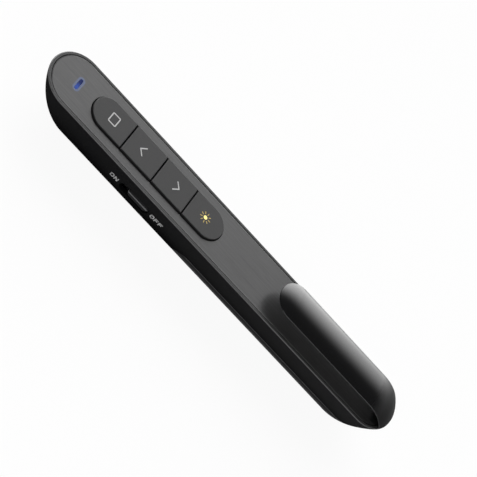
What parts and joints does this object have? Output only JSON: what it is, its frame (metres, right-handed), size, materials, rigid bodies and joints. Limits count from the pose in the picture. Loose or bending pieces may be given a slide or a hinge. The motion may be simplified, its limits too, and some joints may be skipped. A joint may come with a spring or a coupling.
{
  "type": "wireless presentation clicker",
  "caption": "Slim pen-shaped wireless presentation clicker with slide keys, a laser, a side power switch, a sliding battery door and a sprung pocket clip.",
  "frame": {"origin": "under the middle of the body, on the flat of the back that it lies on", "axes": "+X from the laser end to the clip end, -Y the side with the power switch, +Z out of the face with the keys"},
  "size_m": [0.1522, 0.0208, 0.0198],
  "materials": {
    "shell_black": "satin black moulding",
    "panel_brushed": "dark grey, finely brushed along its length",
    "key_satin": "satin dark grey with printed symbols",
    "switch_plastic": "moulded nylon",
    "steel": "tinned steel",
    "board_green": "green solder resist",
    "chip_black": "black epoxy",
    "ceramic_tan": "ceramic chip parts",
    "light_white": "indicator chip",
    "light_blue": "translucent blue light pipe",
    "brass": "turned",
    "lens_clear": "moulded collimating lens",
    "window_dark": "tinted clear window",
    "knob_black": "satin black",
    "cell_wrap": "printed wrap with bare ends",
    "contact_nickel": "nickel plated",
    "lead_red": "insulated wire",
    "receiver_black": "moulded",
    "contact_block": "moulded contact carrier",
    "clip_gloss": "polished black"
  },
  "bodies": {
    "casing": {"body_shell": "shell_black", "face_panel": "panel_brushed", "tact_switches": "steel", "main_board": "board_green", "board_screws": "steel", "radio_chip": "chip_black", "crystal": "steel", "capacitors": "ceramic_tan", "light_chip": "light_white", "light_window": "light_blue", "laser_barrel": "brass", "laser_lens": "lens_clear", "laser_diode": "steel", "laser_leads": "steel", "laser_window": "window_dark", "switch_case": "steel", "battery": "cell_wrap", "negative_contact": "contact_nickel", "positive_contact": "contact_nickel", "positive_lead": "lead_red", "receiver_cap": "receiver_black", "receiver_plug": "contact_nickel", "receiver_contacts": "contact_block", "clip_pin": "steel"},
    "door": {"battery_door": "shell_black"},
    "screen_key": {"key_screen": "key_satin", "plunger_screen": "switch_plastic"},
    "previous_key": {"key_previous": "key_satin", "plunger_previous": "switch_plastic"},
    "next_key": {"key_next": "key_satin", "plunger_next": "switch_plastic"},
    "laser_key": {"key_laser": "key_satin", "plunger_laser": "switch_plastic"},
    "power_slider": {"switch_knob": "knob_black", "switch_lever": "switch_plastic"},
    "pocket_clip": {"clip": "clip_gloss"}
  },
  "joints": [
    {"name": "screen_key_press", "type": "slide", "parent": "casing", "child": "screen_key", "axis": [0, 0, -1], "range_m": [0, 0.00035], "stiffness_N_per_m": 4500},
    {"name": "previous_key_press", "type": "slide", "parent": "casing", "child": "previous_key", "axis": [0, 0, -1], "range_m": [0, 0.00035], "stiffness_N_per_m": 4500},
    {"name": "next_key_press", "type": "slide", "parent": "casing", "child": "next_key", "axis": [0, 0, -1], "range_m": [0, 0.00035], "stiffness_N_per_m": 4500},
    {"name": "laser_key_press", "type": "slide", "parent": "casing", "child": "laser_key", "axis": [0, 0, -1], "range_m": [0, 0.00035], "stiffness_N_per_m": 4500},
    {"name": "power_slide", "type": "slide", "parent": "casing", "child": "power_slider", "axis": [-1, 0, 0], "range_m": [0, 0.003]},
    {"name": "door_slide", "type": "slide", "parent": "casing", "child": "door", "axis": [1, 0, 0], "range_m": [0, 0.04]},
    {"name": "clip_flex", "type": "hinge", "parent": "casing", "child": "pocket_clip", "pos_m": [0.0706, 0, 0.0109], "axis": [0, 1, 0], "range_deg": [0, 4], "stiffness_Nm_per_rad": 4.2}
  ]
}
